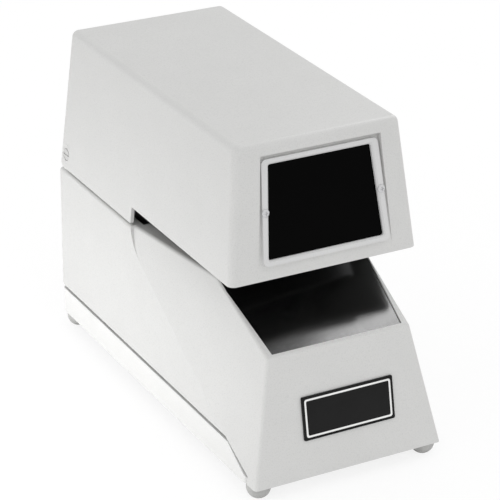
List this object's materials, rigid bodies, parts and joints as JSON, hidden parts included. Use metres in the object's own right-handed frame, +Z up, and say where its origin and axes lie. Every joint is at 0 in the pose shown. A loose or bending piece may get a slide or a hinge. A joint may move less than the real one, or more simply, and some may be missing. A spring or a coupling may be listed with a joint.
{
  "type": "date and time stamp machine",
  "caption": "Desk machine that stamps the date and time on a form pushed into the slot between its black paper table and its hinged grey head",
  "frame": {"origin": "on the surface that the machine stands on, under the middle of its body", "axes": "+X to the right seen from the front, -Y towards the front where the form goes in, +Z up"},
  "size_m": [0.139, 0.29, 0.2218],
  "materials": {
    "grey_paint": "light grey enamel, fine orange peel",
    "pan_paint": "light grey enamel",
    "black_paint": "satin black, rubbed by paper",
    "foot_rubber": "grey translucent rubber",
    "black_rubber": "black rubber",
    "nameplate": "black with a silver line",
    "zinc_screw": "zinc plated",
    "dark_screw": "blackened",
    "zinc_plate": "zinc plated sheet",
    "turned_steel": "turned steel",
    "spring_steel": "spring steel",
    "core_steel": "laminated steel, varnished",
    "bronze": "sintered bronze",
    "brass": "brass",
    "gear_plastic": "natural nylon",
    "motor_can": "plated can",
    "spool_plastic": "black plastic",
    "ribbon": "inked fabric",
    "coil": "enamelled winding",
    "black_plastic": "black moulding",
    "board": "green board",
    "window_trim": "silver grey, satin",
    "window_black": "black acrylic",
    "chrome": "polished",
    "lock_steel": "nickel plated"
  },
  "bodies": {
    "root": {"base_pan": "pan_paint", "rubber_feet": "foot_rubber", "foot_screws": "zinc_screw", "cord_bushing": "black_rubber", "base_cover": "grey_paint", "cover_screws": "zinc_screw", "paper_table": "black_paint", "nameplate": "nameplate", "frame_left": "zinc_plate", "frame_right": "zinc_plate", "tie_rods": "turned_steel", "frame_screws": "zinc_screw", "ribbon_plate": "zinc_plate", "shaft_bushes": "bronze", "wheel_detents": "spring_steel", "idler_stud": "turned_steel", "drive_motor": "motor_can", "spool_shafts": "turned_steel", "ribbon_guides": "turned_steel", "ink_ribbon": "ribbon", "hammer_shaft": "turned_steel", "hammer_spring": "spring_steel", "solenoid_frame": "zinc_plate", "solenoid_coil": "coil", "circuit_board": "board", "transformer": "core_steel", "pivot_screws": "dark_screw", "cover_bumpers": "black_rubber"},
    "head": {"head_cover": "grey_paint", "window_frame": "window_trim", "window_panel": "window_black", "window_screws": "zinc_screw", "lock_body": "chrome"},
    "lock": {"lock_barrel": "lock_steel"},
    "hammer": {"hammer_arm": "zinc_plate", "hammer_pad": "black_rubber"},
    "plunger": {"solenoid_plunger": "turned_steel"},
    "stop": {"paper_stop": "zinc_plate", "trip_switch": "black_plastic"},
    "trigger": {"trigger_lever": "turned_steel"},
    "minute_train": {"type_shaft": "turned_steel", "minute_wheel": "brass", "drive_gear": "brass"},
    "hour": {"hour_wheel": "brass"},
    "day": {"day_wheel": "brass"},
    "month": {"month_wheel": "brass"},
    "year": {"year_wheel": "brass"},
    "idler": {"idler_gear": "gear_plastic"},
    "pinion": {"motor_pinion": "turned_steel"},
    "front_reel": {"front_spool": "spool_plastic", "front_ribbon_roll": "ribbon"},
    "rear_reel": {"rear_spool": "spool_plastic", "rear_ribbon_roll": "ribbon"}
  },
  "joints": [
    {"name": "cover_hinge", "type": "hinge", "parent": "root", "child": "head", "pos_m": [0, 0.1345, 0.133], "axis": [-1, 0, 0], "range_deg": [0, 75]},
    {"name": "lock_turn", "type": "hinge", "parent": "head", "child": "lock", "pos_m": [0.06631, 0.062, 0.15], "axis": [0.9947, 0, 0.1028], "range_deg": [0, 90]},
    {"name": "hammer_swing", "type": "hinge", "parent": "root", "child": "hammer", "pos_m": [0, 0.038, 0.108], "axis": [-1, 0, 0], "range_deg": [0, 20], "stiffness_Nm_per_rad": 0.05, "springref_deg": -11.46},
    {"name": "plunger_pull", "type": "slide", "parent": "root", "child": "plunger", "axis": [0, 0, -1], "range_m": [0, 0.0085]},
    {"name": "stop_slide", "type": "slide", "parent": "root", "child": "stop", "axis": [0, -1, 0], "range_m": [0, 0.012]},
    {"name": "trigger_push", "type": "hinge", "parent": "stop", "child": "trigger", "pos_m": [0.014, 0.031, 0.1152], "axis": [-1, 0, 0], "range_deg": [0, 10], "stiffness_Nm_per_rad": 0.02, "springref_deg": -11.46},
    {"name": "minute_turn", "type": "hinge", "parent": "root", "child": "minute_train", "pos_m": [0, -0.015, 0.168], "axis": [1, 0, 0], "continuous": true},
    {"name": "hour_turn", "type": "hinge", "parent": "root", "child": "hour", "pos_m": [0, -0.015, 0.168], "axis": [1, 0, 0], "continuous": true},
    {"name": "day_turn", "type": "hinge", "parent": "root", "child": "day", "pos_m": [0, -0.015, 0.168], "axis": [1, 0, 0], "continuous": true},
    {"name": "month_turn", "type": "hinge", "parent": "root", "child": "month", "pos_m": [0, -0.015, 0.168], "axis": [1, 0, 0], "continuous": true},
    {"name": "year_turn", "type": "hinge", "parent": "root", "child": "year", "pos_m": [0, -0.015, 0.168], "axis": [1, 0, 0], "continuous": true},
    {"name": "idler_turn", "type": "hinge", "parent": "root", "child": "idler", "pos_m": [0, 0.033, 0.168], "axis": [1, 0, 0], "continuous": true},
    {"name": "pinion_turn", "type": "hinge", "parent": "root", "child": "pinion", "pos_m": [0, 0.063, 0.168], "axis": [1, 0, 0], "continuous": true},
    {"name": "front_reel_turn", "type": "hinge", "parent": "root", "child": "front_reel", "pos_m": [0, -0.066, 0.18], "axis": [1, 0, 0], "continuous": true},
    {"name": "rear_reel_turn", "type": "hinge", "parent": "root", "child": "rear_reel", "pos_m": [0, 0.036, 0.18], "axis": [1, 0, 0], "continuous": true}
  ],
  "couplings": [
    {"joint": "plunger_pull", "follows": "hammer_swing", "m_per_rad": 0.0235},
    {"joint": "hour_turn", "follows": "minute_turn", "ratio": 0.041667},
    {"joint": "day_turn", "follows": "minute_turn", "ratio": 0.001344},
    {"joint": "idler_turn", "follows": "minute_turn", "ratio": -1},
    {"joint": "pinion_turn", "follows": "minute_turn", "ratio": 4},
    {"joint": "rear_reel_turn", "follows": "front_reel_turn", "ratio": 1}
  ]
}
